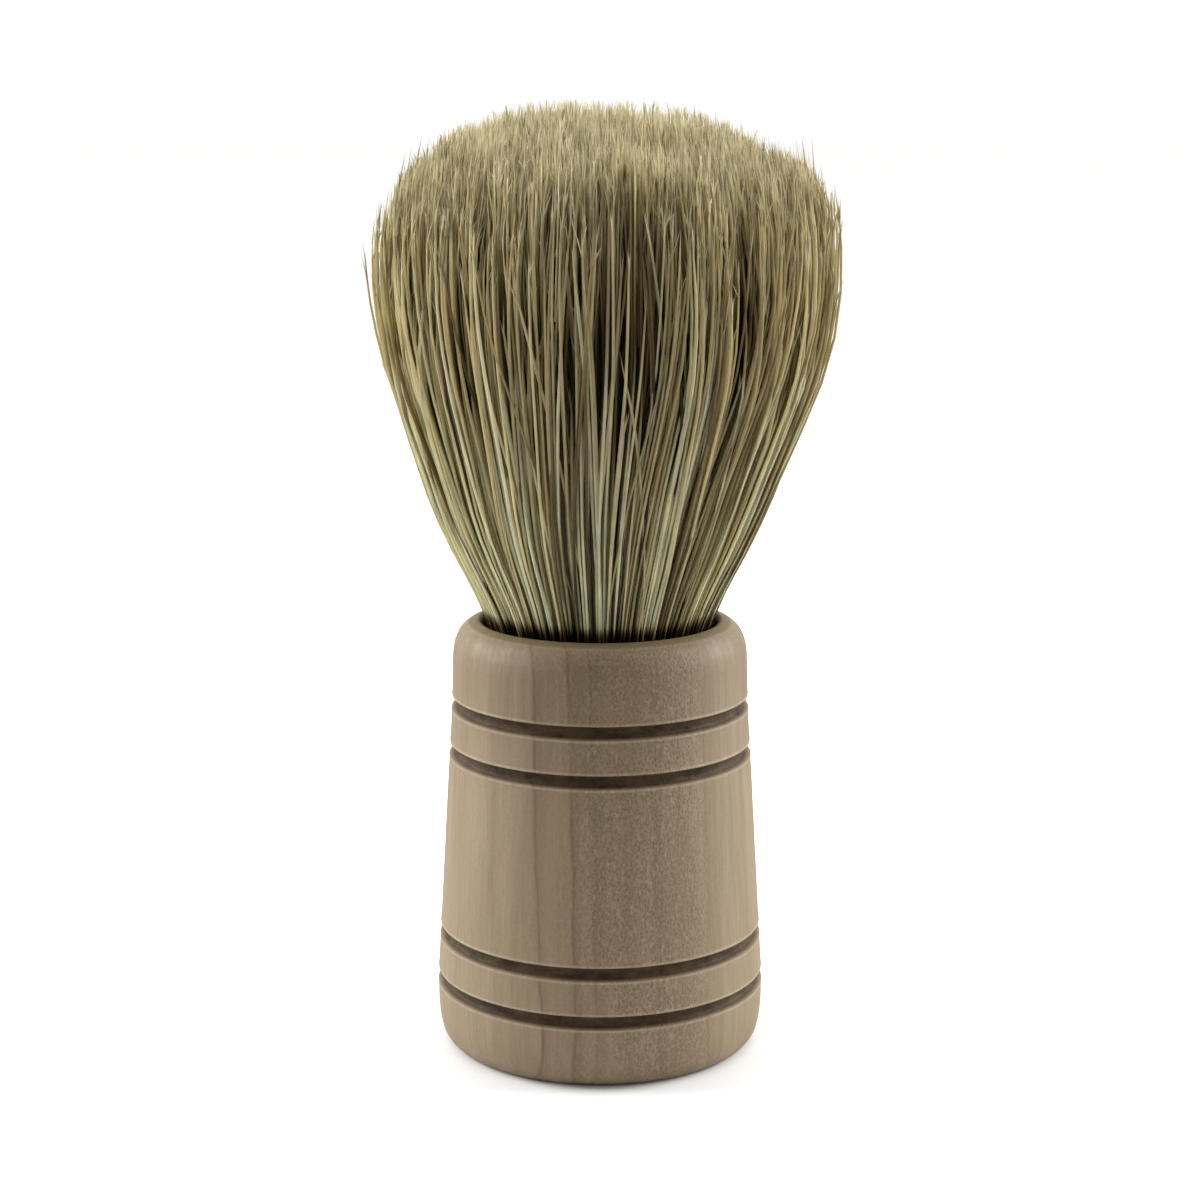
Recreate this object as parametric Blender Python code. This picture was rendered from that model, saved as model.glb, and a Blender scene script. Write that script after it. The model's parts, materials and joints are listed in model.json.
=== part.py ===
"""Shaving brush: a turned wooden handle with a bored socket, and a knot of natural bristle set in it.

Blender 4.5. Sizes are in millimetres and are built in metres, +Z up. The origin is the centre of the
flat base that the brush stands on, and +Z runs up the handle's axis to the crown of the bristles.

The bristles are one bound bundle, divided where they bend: bristle_root_bundle is the part that the cord
and the resin hold still, bristle_neck is the short flexing length at the mouth, bristle_core is the middle
of the knot, and each tuft round it has its origin on a hinge line at its lower outer edge.
"""

import math

import bmesh
import bpy
import numpy as np
from mathutils import Vector

MM = 0.001

# Overall
TOTAL_H = 105.0          # base to the crown of the bristles
RIM_Z = 48.5             # top of the wooden handle
CLEAR = 0.3              # gap between pieces

# Handle
BASE_FLAT_R = 16.0       # flat that it stands on
BASE_R = 18.4            # widest, just above the base
BASE_ROUND = 2.6         # height of the round at the foot
TOP_R = 16.45            # below the shoulder
TAPER_LOW_Z = 8.5        # the taper runs between these heights
TAPER_HIGH_Z = 38.0
SHOULDER_Z = 44.4        # where the shoulder starts to round over
GROOVES_Z = (7.70, 13.05, 34.00, 39.30)   # two pairs of burnt grooves
GROOVE_W = 1.50
GROOVE_D = 0.75
# Section of a groove: (height as a share of half the width, depth as a share of full depth)
GROOVE_SECTION = ((-1.0, 0.0), (-0.82, 0.62), (-0.38, 0.96), (0.38, 0.96), (0.82, 0.62), (1.0, 0.0))
SOCKET_R = 13.0          # bored socket for the knot
SOCKET_Z = 27.6          # its floor
LIP_R = 1.35             # eased inner edge at the mouth, up to the crest of the rim
SPUR_R = 1.6             # centre mark that the boring bit leaves in the floor
SPUR_DEPTH = 1.7

# Adhesive cup in the socket
GLUE_FLOOR = 0.9
GLUE_WALL = 0.65
GLUE_TOP_Z = 36.5        # peak of its rim
GLUE_RIM_IN = 0.2        # from the outer wall in to the peak
GLUE_OUTER_DROP = 0.25   # from the peak down to the outer edge of the rim
GLUE_INNER_DROP = 0.35   # and down to the inner edge
GLUE_R = SOCKET_R - CLEAR
GLUE_Z = SOCKET_Z + CLEAR

# Resin cup round the root ends
PLUG_WALL = 1.0
PLUG_FLOOR = 2.4
PLUG_TOP_Z = 38.6
PLUG_FOOT_BEVEL = 0.6
PLUG_RIM_IN = 0.35       # from the outer wall in to the peak of the rim
PLUG_OUTER_DROP = 0.5    # from the peak down to the outer edge of the rim
PLUG_INNER_DROP = 0.2    # and down to the inner edge
PLUG_R = GLUE_R - GLUE_WALL - CLEAR
PLUG_Z = GLUE_Z + GLUE_FLOOR + CLEAR
POCKET_R = PLUG_R - PLUG_WALL
POCKET_Z = PLUG_Z + PLUG_FLOOR

# Binding cord
CORD_R = 0.5
CORD_TURNS = 5
CORD_PITCH = 1.14
CORD_Z = 39.9            # centre of the cord where it starts
CORD_TURN_STEPS = 26

# Root bundle
BOUND_R = 11.3           # under the cord
BOUND_LOW_Z = PLUG_TOP_Z + 0.5
BOUND_HIGH_Z = CORD_Z + CORD_TURNS * CORD_PITCH + 0.4
ROOT_STEP_Z = PLUG_TOP_Z + 0.2   # where the bundle starts to change to its bound radius
ROOT_FLARE = ((BOUND_R + 0.7, 47.0), (12.45, 48.0))   # (radius, height) from the cord up to the ball

# Balls on which the bristles bend. Their angles are in degrees above level
PIVOT_Z = 52.6           # centre of the bend, just above the rim
ROOT_R = 13.3            # ball at the top of the roots, which fills the mouth
ROOT_LOW_ANGLE = -18     # where the ball starts
COLLAR_ANGLE = 35.0      # where the ball steps in to the neck's seat
SEAT_R = 10.0            # top of the roots, where the neck slides
NECK_IN_R = SEAT_R + CLEAR
NECK_OUT_R = 13.3
NECK_ANGLE = 52.0        # neck's edge
UPPER_IN_R = NECK_OUT_R + CLEAR   # underside of the core and the tufts
TUFT_LOW_ANGLE = 11.0    # tufts' underside
TUFT_INSET_ANGLE = 2.5   # from the core's lower edge down to the tufts' upper inner edge

# Core and tufts
CORE_SHARE = 0.42        # the core's radius as a share of the knot's
CORE_SIDE_Z = (64.0, 69.7, 75.5, 82.0, 88.0, 94.0, 98.5)   # stations up the core's side
CORE_CROWN_SHARES = (1.0, 0.8, 0.5, 0.22)   # stations over its crown, as shares of its radius
TUFTS = 12
TUFT_GAP = 0.45
TUFT_COLUMNS = 3
TUFT_SIDE_Z = (58.1, 101.0)   # the tufts use the knot's stations between these heights
TUFT_CROWN_R = 13.6      # one more station over their crown

# Outline of the knot: height, radius
KNOT = (
    (50.0, 13.2), (52.1, 14.2), (55.1, 15.7), (58.1, 17.1), (61.0, 18.4),
    (65.4, 20.1), (69.7, 21.7), (74.0, 23.2), (78.3, 24.5), (82.5, 25.3),
    (86.7, 25.65), (90.5, 25.35), (93.6, 24.3), (96.3, 22.5), (99.0, 19.6),
    (101.0, 16.3), (102.7, 12.0), (104.0, 7.0), (104.8, 3.0), (TOTAL_H, 0.0),
)
WIDEST_Z, WIDEST_R = max(KNOT, key=lambda station: station[1])
CORE_R = CORE_SHARE * WIDEST_R

# Facets round the axis
HANDLE_STEPS = 56
CUP_STEPS = 40
ROOT_STEPS = 48
KNOT_STEPS = 32


# Scene and mesh helpers

def material(name, colour, roughness):
    made = bpy.data.materials.new(name)
    made.use_nodes = True
    shader = made.node_tree.nodes["Principled BSDF"]
    shader.inputs["Base Color"].default_value = (*colour, 1.0)
    shader.inputs["Roughness"].default_value = roughness
    made.diffuse_color = (*colour, 1.0)
    return made


def place(name, data, origin, parent):
    """Links an object with its origin at a point given in millimetres."""
    obj = bpy.data.objects.new(name, data)
    bpy.context.scene.collection.objects.link(obj)
    obj.parent = parent
    obj.location = Vector(origin) * MM


def add_mesh(name, bm, surface, parent, origin=(0, 0, 0), sharp=35):
    """Makes an object of a bmesh in millimetres. Edges over the sharp angle, in degrees, stay hard."""
    shift = Vector(origin)
    for vert in bm.verts:
        vert.co = (vert.co - shift) * MM
    bmesh.ops.recalc_face_normals(bm, faces=bm.faces[:])
    mesh = bpy.data.meshes.new(name)
    bm.to_mesh(mesh)
    bm.free()
    mesh.shade_smooth()
    mesh.set_sharp_from_angle(angle=math.radians(sharp))
    mesh.materials.append(surface)
    place(name, mesh, origin, parent)


def lathe(name, profile, steps, surface, parent, origin=(0, 0, 0)):
    """Turns a profile of (radius, height) points, which starts and ends on the axis, about Z."""
    bm = bmesh.new()
    verts = [bm.verts.new((radius, 0, z)) for radius, z in profile]
    edges = [bm.edges.new(pair) for pair in zip(verts, verts[1:])]
    bmesh.ops.spin(
        bm, geom=verts + edges, cent=(0, 0, 0), axis=(0, 0, 1),
        angle=2 * math.pi, steps=steps, use_merge=True,
    )
    bmesh.ops.remove_doubles(bm, verts=bm.verts[:], dist=1e-4)
    add_mesh(name, bm, surface, parent, origin)


def arc(centre, radii, start, end, count):
    """(radius, height) points of an elliptical arc, angles in degrees from outwards towards +Z."""
    points = []
    for i in range(count + 1):
        angle = math.radians(start + (end - start) * i / count)
        points.append((
            centre[0] + radii[0] * math.cos(angle),
            centre[1] + radii[1] * math.sin(angle),
        ))
    return points


def ball_arc(radius, start, end, count):
    """Arc of a ball centred on the bend."""
    return arc((0.0, PIVOT_Z), (radius, radius), start, end, count)


# Handle

def taper_radius(z):
    return float(np.interp(z, (TAPER_LOW_Z, TAPER_HIGH_Z), (BASE_R, TOP_R)))


def groove(middle_z):
    """One round-bottomed groove, from its lower edge to its upper edge."""
    points = []
    for height_share, depth_share in GROOVE_SECTION:
        z = middle_z + height_share * GROOVE_W / 2
        points.append((taper_radius(z) - GROOVE_D * depth_share, z))
    return points


def build_handle(surface, parent):
    crest_r = SOCKET_R + LIP_R
    foot_radii = (BASE_R - BASE_FLAT_R, BASE_ROUND)
    shoulder_radii = (TOP_R - crest_r, RIM_Z - SHOULDER_Z)
    profile = [(0.0, 0.0), (BASE_FLAT_R, 0.0)]
    profile += arc((BASE_FLAT_R, BASE_ROUND), foot_radii, -70, 0, 4)
    for z in GROOVES_Z:
        profile += groove(z)
    profile.append((TOP_R, SHOULDER_Z))
    profile += arc((crest_r, SHOULDER_Z), shoulder_radii, 18, 90, 5)
    profile += arc((crest_r, RIM_Z - LIP_R), (LIP_R, LIP_R), 90, 180, 3)[1:]
    profile += [(SOCKET_R, SOCKET_Z), (SPUR_R, SOCKET_Z), (0.0, SOCKET_Z - SPUR_DEPTH)]
    lathe("handle", profile, HANDLE_STEPS, surface, parent)


# Parts in the socket

def build_adhesive(surface, parent):
    """Thin cup over the floor of the socket and its centre mark, and round the resin."""
    inner_r = GLUE_R - GLUE_WALL
    inner_z = GLUE_Z + GLUE_FLOOR
    profile = [
        (0.0, SOCKET_Z - SPUR_DEPTH + 2 * CLEAR),
        (SPUR_R - 2 * CLEAR, GLUE_Z),
        (GLUE_R, GLUE_Z),
        (GLUE_R, GLUE_TOP_Z - GLUE_OUTER_DROP),
        (GLUE_R - GLUE_RIM_IN, GLUE_TOP_Z),
        (inner_r, GLUE_TOP_Z - GLUE_INNER_DROP),
        (inner_r, inner_z),
        (0.0, inner_z),
    ]
    lathe("socket_adhesive", profile, CUP_STEPS, surface, parent)


def build_plug(surface, parent):
    """Resin cup cast round the cut ends of the bristles."""
    profile = [
        (0.0, PLUG_Z),
        (PLUG_R - PLUG_FOOT_BEVEL, PLUG_Z),
        (PLUG_R, PLUG_Z + PLUG_FOOT_BEVEL),
        (PLUG_R, PLUG_TOP_Z - PLUG_OUTER_DROP),
        (PLUG_R - PLUG_RIM_IN, PLUG_TOP_Z),
        (POCKET_R, PLUG_TOP_Z - PLUG_INNER_DROP),
        (POCKET_R, POCKET_Z),
        (0.0, POCKET_Z),
    ]
    lathe("root_plug", profile, CUP_STEPS, surface, parent)


def build_roots(surface, parent):
    """Solid bundle from the resin to the mouth, where it ends in a ball with a seat for the neck."""
    foot_r = POCKET_R - CLEAR
    foot_z = POCKET_Z + CLEAR
    profile = [
        (0.0, foot_z),
        (foot_r, foot_z),
        (foot_r, ROOT_STEP_Z),
        (BOUND_R, BOUND_LOW_Z),
        (BOUND_R, BOUND_HIGH_Z),
        *ROOT_FLARE,
    ]
    profile += ball_arc(ROOT_R, ROOT_LOW_ANGLE, COLLAR_ANGLE, 7)
    profile += ball_arc(SEAT_R, COLLAR_ANGLE, 90, 5)
    lathe("bristle_root_bundle", profile, ROOT_STEPS, surface, parent)


def build_cord(surface, parent):
    """Cord wound round the roots, above the resin."""
    curve = bpy.data.curves.new("binding_cord", "CURVE")
    curve.dimensions = "3D"
    curve.bevel_depth = CORD_R * MM
    curve.bevel_resolution = 1
    curve.use_fill_caps = True
    curve.resolution_u = 1
    line = curve.splines.new("POLY")
    line.points.add(CORD_TURNS * CORD_TURN_STEPS)
    wound_r = BOUND_R + CORD_R + CLEAR
    for i, point in enumerate(line.points):
        turns = i / CORD_TURN_STEPS
        angle = 2 * math.pi * turns
        x = wound_r * math.cos(angle)
        y = wound_r * math.sin(angle)
        point.co = (x * MM, y * MM, CORD_PITCH * turns * MM, 1.0)
    curve.materials.append(surface)
    place("binding_cord", curve, (0, 0, CORD_Z), parent)


# Neck and core

def knot_radius(z):
    """Outer radius of the bristles at a height."""
    heights, radii = zip(*KNOT)
    return float(np.interp(z, heights, radii))


def crown_z(radius):
    """Height of the crown at a distance from the axis."""
    crown = [station for station in KNOT if station[0] >= WIDEST_Z]
    heights, radii = zip(*reversed(crown))   # radii have to rise for the interpolation
    return float(np.interp(radius, radii, heights))


def core_radius(z):
    """Radius of the core's side, which is upright above the knot's widest height."""
    return CORE_SHARE * knot_radius(min(z, WIDEST_Z))


def core_base_angle():
    """Where the core's side meets the ball that it stands on, to a tenth of a degree above level."""
    for tenths in range(900, 0, -1):
        angle = math.radians(tenths / 10)
        z = PIVOT_Z + UPPER_IN_R * math.sin(angle)
        if UPPER_IN_R * math.cos(angle) >= core_radius(z):
            return tenths / 10
    raise ValueError("the core's side misses the ball")


def build_neck(surface, parent):
    """Spherical cap of bristle between the root bundle and the core."""
    profile = ball_arc(NECK_IN_R, 90, NECK_ANGLE, 5)
    profile += ball_arc(NECK_OUT_R, NECK_ANGLE, 90, 5)
    lathe("bristle_neck", profile, KNOT_STEPS, surface, parent, origin=(0, 0, PIVOT_Z))


def build_core(surface, parent):
    """Middle of the knot, standing on the neck."""
    profile = ball_arc(UPPER_IN_R, 90, core_base_angle(), 4)
    profile += [(core_radius(z), z) for z in CORE_SIDE_Z]
    profile += [(CORE_R * share, crown_z(CORE_R * share)) for share in CORE_CROWN_SHARES]
    profile.append((0.0, TOTAL_H))
    lathe("bristle_core", profile, KNOT_STEPS, surface, parent, origin=(0, 0, PIVOT_Z))


# Tufts

def hinge_point():
    """(radius, height) where the tufts' sloping underside meets the knot's outline."""
    slope = math.tan(math.radians(TUFT_LOW_ANGLE))
    for i in range(400):
        radius = 13.0 + i * 0.01
        z = PIVOT_Z + radius * slope
        if radius >= knot_radius(z):
            return radius, z
    raise ValueError("the underside misses the outline")


def tuft_outline(hinge):
    """Closed (radius, height) outline, from the inner lower edge out, up, over and down the inside."""
    underside = ball_arc(UPPER_IN_R, core_base_angle() - TUFT_INSET_ANGLE, TUFT_LOW_ANGLE, 2)
    inner_top_r = CORE_R + TUFT_GAP
    low_z, high_z = TUFT_SIDE_Z
    points = [underside[-1], hinge]
    points += [(radius, z) for z, radius in KNOT if low_z <= z <= high_z]
    points += [(radius, crown_z(radius)) for radius in (TUFT_CROWN_R, inner_top_r)]
    points += [(core_radius(z) + TUFT_GAP, z) for z in reversed(CORE_SIDE_Z)]
    return points + underside[:-1]


def build_tufts(surface, parent):
    """Wedges round the core, with flat sides half a gap from the planes between neighbours."""
    hinge_r, hinge_z = hinge_point()
    outline = tuft_outline((hinge_r, hinge_z))
    half_sector = math.pi / TUFTS
    for n in range(TUFTS):
        azimuth = 2 * math.pi * n / TUFTS
        bm = bmesh.new()
        rings = []
        for column in range(TUFT_COLUMNS + 1):
            share = 2 * column / TUFT_COLUMNS - 1
            ring = []
            for radius, z in outline:
                angle = azimuth + share * (half_sector - math.asin(TUFT_GAP / 2 / radius))
                ring.append(bm.verts.new((radius * math.cos(angle), radius * math.sin(angle), z)))
            rings.append(ring)
        for first, second in zip(rings, rings[1:]):
            for k in range(len(outline)):
                j = (k + 1) % len(outline)
                bm.faces.new((first[k], first[j], second[j], second[k]))
        bm.faces.new(rings[0])
        bm.faces.new(rings[-1])
        origin = (hinge_r * math.cos(azimuth), hinge_r * math.sin(azimuth), hinge_z)
        add_mesh(f"bristle_tuft_{n + 1:02d}", bm, surface, parent, origin, sharp=50)


def build_brush():
    wood = material("beech_wood", colour=(0.56, 0.46, 0.34), roughness=0.62)
    resin = material("cast_resin", colour=(0.30, 0.20, 0.10), roughness=0.30)
    glue = material("socket_glue", colour=(0.62, 0.55, 0.40), roughness=0.45)
    cord = material("binding_cord", colour=(0.70, 0.66, 0.55), roughness=0.85)
    bristle_root = material("bristle_root", colour=(0.26, 0.22, 0.14), roughness=0.60)
    bristle = material("bristle", colour=(0.45, 0.40, 0.26), roughness=0.60)

    brush = bpy.data.objects.new("brush", None)
    bpy.context.scene.collection.objects.link(brush)
    build_handle(wood, brush)
    build_adhesive(glue, brush)
    build_plug(resin, brush)
    build_roots(bristle_root, brush)
    build_cord(cord, brush)
    build_neck(bristle_root, brush)
    build_core(bristle, brush)
    build_tufts(bristle, brush)


for old in list(bpy.data.objects):
    bpy.data.objects.remove(old)
build_brush()
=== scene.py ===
"""A shaving brush standing upright on white paper: a turned beech handle and a knot of bristle.

The brush stands on z = 0 with its axis on Z. The camera looks from -Y towards +Y, so +X is
to the right. Shapes are written in millimetres and scaled by MM; materials, lights and the
camera are in metres.
"""
import json
import math

import bpy
import numpy as np
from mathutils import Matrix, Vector

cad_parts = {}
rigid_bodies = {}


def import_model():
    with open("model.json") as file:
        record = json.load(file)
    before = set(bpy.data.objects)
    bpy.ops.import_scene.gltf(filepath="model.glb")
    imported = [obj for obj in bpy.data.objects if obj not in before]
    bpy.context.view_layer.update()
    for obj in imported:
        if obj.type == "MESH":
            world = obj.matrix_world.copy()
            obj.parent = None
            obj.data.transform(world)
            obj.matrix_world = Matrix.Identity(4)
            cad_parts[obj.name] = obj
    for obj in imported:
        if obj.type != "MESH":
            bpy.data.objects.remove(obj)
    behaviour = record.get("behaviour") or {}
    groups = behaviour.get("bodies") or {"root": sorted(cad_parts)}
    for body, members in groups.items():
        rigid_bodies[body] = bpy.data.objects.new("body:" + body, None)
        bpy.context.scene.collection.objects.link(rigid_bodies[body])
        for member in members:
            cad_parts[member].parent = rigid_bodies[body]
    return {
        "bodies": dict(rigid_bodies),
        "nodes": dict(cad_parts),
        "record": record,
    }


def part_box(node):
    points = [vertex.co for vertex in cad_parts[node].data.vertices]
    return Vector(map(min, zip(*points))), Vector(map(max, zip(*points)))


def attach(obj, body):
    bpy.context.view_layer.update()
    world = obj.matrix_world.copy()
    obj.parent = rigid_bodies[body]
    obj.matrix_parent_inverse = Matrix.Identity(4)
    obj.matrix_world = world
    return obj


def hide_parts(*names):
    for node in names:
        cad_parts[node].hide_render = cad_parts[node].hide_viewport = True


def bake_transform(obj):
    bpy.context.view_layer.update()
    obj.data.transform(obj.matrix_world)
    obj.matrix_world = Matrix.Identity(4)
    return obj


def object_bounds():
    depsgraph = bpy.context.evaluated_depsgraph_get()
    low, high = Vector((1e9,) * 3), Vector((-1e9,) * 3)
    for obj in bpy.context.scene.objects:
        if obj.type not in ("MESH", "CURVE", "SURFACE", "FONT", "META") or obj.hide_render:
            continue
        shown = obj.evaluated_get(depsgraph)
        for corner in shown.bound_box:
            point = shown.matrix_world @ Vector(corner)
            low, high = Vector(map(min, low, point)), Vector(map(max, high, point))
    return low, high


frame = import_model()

MM = 0.001
rng = np.random.default_rng(594)      # the order of its draws fixes every hair

cad_low, cad_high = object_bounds()
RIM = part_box("handle")[1].z / MM      # top of the wood
TOP = cad_high.z / MM                 # crown of the knot
TUFTS = sorted(body for body in frame["bodies"] if body.startswith("tuft_"))


# ------------------------------------------------------------------ helpers

def smooth(share):
    share = np.clip(share, 0.0, 1.0)
    return share * share * (3 - 2 * share)


def between(x, low, high):
    """0 below low, 1 above high, and smooth from one to the other."""
    return smooth((x - low) / (high - low))


def curve(points):
    """A smooth, never overshooting line through (x, y) points."""
    x, y = np.array(points, float).T
    step = np.diff(x)
    slope = np.diff(y) / step
    before, after = slope[:-1], slope[1:]
    tangent = np.zeros(len(x))
    tangent[0], tangent[-1] = slope[0], slope[-1]
    same = before * after > 0
    weight_before, weight_after = 2 * step[1:] + step[:-1], step[1:] + 2 * step[:-1]
    tangent[1:-1][same] = (weight_before + weight_after)[same] / (
        weight_before[same] / before[same] + weight_after[same] / after[same]
    )

    def at(place):
        place = np.clip(np.asarray(place, float), x[0], x[-1])
        i = np.clip(np.searchsorted(x, place, side="right") - 1, 0, len(x) - 2)
        t = (place - x[i]) / step[i]
        return (
            (2 * t**3 - 3 * t**2 + 1) * y[i] + (t**3 - 2 * t**2 + t) * step[i] * tangent[i]
            + (-2 * t**3 + 3 * t**2) * y[i + 1] + (t**3 - t**2) * step[i] * tangent[i + 1]
        )

    return at


def unit(vectors):
    return vectors / np.maximum(np.linalg.norm(vectors, axis=-1, keepdims=True), 1e-9)


def ring_quads(rings, sides):
    """Faces between rings of points numbered ring after ring."""
    i, j = np.meshgrid(np.arange(rings - 1), np.arange(sides), indexing="ij")
    low, high, after = i * sides, (i + 1) * sides, (j + 1) % sides
    return np.stack([low + j, low + after, high + after, high + j], -1).reshape(-1, 4)


def make_mesh(name, points, quads, triangles, uv, attributes):
    """A mesh object from points in millimetres; uv has a pair for each corner, quads first."""
    mesh = bpy.data.meshes.new(name)
    corners = np.concatenate([quads.ravel(), triangles.ravel()]).astype(np.int32)
    quad_count, triangle_count = len(quads), len(triangles)
    starts = np.concatenate([
        np.arange(quad_count) * 4, quad_count * 4 + np.arange(triangle_count) * 3,
    ]).astype(np.int32)
    mesh.vertices.add(len(points))
    mesh.vertices.foreach_set("co", (points * MM).astype(np.float32).ravel())
    mesh.loops.add(len(corners))
    mesh.loops.foreach_set("vertex_index", corners)
    mesh.polygons.add(len(starts))
    mesh.polygons.foreach_set("loop_start", starts)
    mesh.update(calc_edges=True)
    mesh.uv_layers.new(name="OFBake").data.foreach_set("uv", uv.astype(np.float32).ravel())
    for key, values in attributes.items():
        attribute = mesh.attributes.new(key, "FLOAT", "POINT")
        attribute.data.foreach_set("value", values.astype(np.float32))
    mesh.shade_smooth()
    made = bpy.data.objects.new(name, mesh)
    bpy.context.scene.collection.objects.link(made)
    return made


class Nodes:
    """Short ways to write the node tree of a material or world."""

    def __init__(self, owner):
        self.owner = owner
        owner.use_nodes = True
        self.tree = owner.node_tree

    def fill(self, node, inputs):
        """Links or sets inputs of a node; None leaves one alone, and a colour gets its alpha."""
        for key, value in inputs.items():
            socket = node.inputs[key]
            if isinstance(value, bpy.types.NodeSocket):
                self.tree.links.new(value, socket)
            elif value is not None:
                if hasattr(value, "__len__") and len(value) < len(socket.default_value):
                    value = (*value, 1.0)
                socket.default_value = value

    def surface(self, inputs, shader="Principled BSDF"):
        self.fill(self.tree.nodes[shader], inputs)
        return self.owner

    def node(self, kind, inputs=None, **options):
        made = self.tree.nodes.new(kind)
        for key, value in options.items():
            setattr(made, key, value)
        self.fill(made, inputs or {})
        return made

    def math(self, operation, first, second=None, **options):
        inputs = {0: first, 1: second}
        return self.node("ShaderNodeMath", inputs, operation=operation, **options).outputs[0]

    def plus(self, first, second, **options):
        return self.math("ADD", first, second, **options)

    def times(self, first, second):
        return self.math("MULTIPLY", first, second)

    def vector(self, operation, first, second=None, out="Vector"):
        inputs = {0: first, 1: second}
        return self.node("ShaderNodeVectorMath", inputs, operation=operation).outputs[out]

    def axis(self, vector, name):
        return self.node("ShaderNodeSeparateXYZ", {"Vector": vector}).outputs[name]

    def attribute(self, name):
        return self.node("ShaderNodeAttribute", attribute_name=name).outputs["Fac"]

    def camera_ray(self):
        return self.node("ShaderNodeLightPath").outputs["Is Camera Ray"]

    def place(self, space="Object"):
        return self.node("ShaderNodeTexCoord").outputs[space]

    def mapped(self, vector, scale, offset=(0, 0, 0)):
        inputs = {"Vector": vector, "Scale": scale, "Location": offset}
        return self.node("ShaderNodeMapping", inputs).outputs[0]

    def noise(self, cells, offset=(0, 0, 0), detail=2.0, roughness=0.5, out="Fac"):
        """Noise with the given number of cells per metre along each axis."""
        return self.node("ShaderNodeTexNoise", {
            "Vector": self.mapped(self.place(), cells, offset),
            "Scale": 1.0, "Detail": detail, "Roughness": roughness,
        }).outputs[out]

    def ramp(self, value, stops):
        """A ramp through (position, colour or grey level) stops."""
        made = self.node("ShaderNodeValToRGB", {"Fac": value})
        elements = made.color_ramp.elements
        while len(elements) < len(stops):
            elements.new(0.5)
        for element, (position, colour) in zip(elements, stops):
            element.position = position
            if not hasattr(colour, "__len__"):
                colour = (colour,) * 3
            element.color = (*colour, 1.0)
        return made.outputs["Color"]

    def remap(self, value, span, to=(0.0, 1.0), **options):
        return self.node("ShaderNodeMapRange", {
            "Value": value, "From Min": span[0], "From Max": span[1],
            "To Min": to[0], "To Max": to[1],
        }, **options).outputs["Result"]

    def mix(self, amount, under, over, blend="MIX"):
        inputs = {0: amount, 6: under, 7: over}
        made = self.node("ShaderNodeMix", inputs, data_type="RGBA", blend_type=blend)
        return made.outputs[2]

    def tint(self, colour, by):
        return self.mix(1.0, colour, by, "MULTIPLY")

    def coats(self, colour, *layers):
        """Lays (amount, colour) coats over a colour, one after another."""
        for amount, over in layers:
            colour = self.mix(amount, colour, over)
        return colour

    def bump(self, height, distance, strength):
        inputs = {"Height": height, "Distance": distance, "Strength": strength}
        return self.node("ShaderNodeBump", inputs).outputs["Normal"]


def material_nodes(name):
    return Nodes(bpy.data.materials.new(name))


# ---------------------------------------------------------------- materials

PITH = 60.0                # the pith of the tree lies this far off the axis, towards +X
NEAR, FAR = 42.0, 82.0     # distances from the pith that the growth ramps span
LINE_SURFACE = 17.2        # radius of the handle at which the growth lines are placed
GROWTH_LINES = (           # (x where the line shows on the surface, strength)
    (11.5, 0.20), (6.2, 0.34), (3.0, 0.16), (-0.6, 0.60), (-3.1, 1.0), (-6.9, 0.92), (-11.4, 0.24),
)


def growth(mat):
    """Growth layers about the pith: their dark lines, the browner heartwood, where rays show."""
    bend = mat.noise((60, 60, 17), detail=2.0, out="Color")
    bend = mat.vector("SUBTRACT", bend, (0.5, 0.5, 0.5))
    bend = mat.vector("MULTIPLY", bend, (0.0026, 0.0026, 0.0))
    bent = mat.vector("ADD", mat.place(), bend)
    flat = mat.mapped(bent, scale=(1, 1, 0.0), offset=(-PITH * MM, 0.0, 0))
    across = mat.remap(mat.vector("LENGTH", flat, out="Value"), span=(NEAR * MM, FAR * MM))

    reach = FAR - NEAR
    stops = [(0.0, 0.0)]
    for x, strength in GROWTH_LINES:
        at = math.hypot(PITH - x, math.sqrt(LINE_SURFACE**2 - x**2)) - NEAR
        # each line darkens slowly outwards from the pith and ends sharply
        stops += [
            ((at - 1.1) / reach, 0.0), ((at - 0.16) / reach, 0.40 * strength),
            (at / reach, strength), ((at + 0.26) / reach, 0.0),
        ]
    waver = mat.math("SUBTRACT", mat.noise((330, 330, 100), offset=(1, 4, 2), detail=2.0), 0.5)
    late = mat.ramp(mat.plus(across, mat.times(waver, 0.030)), stops)
    gaps = mat.noise((300, 300, 65), offset=(5, 1, 2), detail=3.0, roughness=0.7)
    line = mat.times(late, mat.remap(gaps, span=(0.36, 0.60), to=(0.50, 1.0)))

    heart = mat.ramp(across, ((0.16, 0.0), (0.27, 1.0), (0.655, 1.0), (0.672, 0.25), (0.80, 0.0)))
    zone = mat.ramp(across, ((0.17, 0.10), (0.26, 1.0), (0.52, 1.0), (0.60, 0.35), (0.70, 0.12)))
    patches = mat.noise((160, 160, 70), offset=(9.3, 2.1, 5), detail=2.0)
    rays = mat.times(zone, mat.remap(patches, span=(0.34, 0.56), to=(0.45, 1.0)))
    return line, heart, rays


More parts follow.
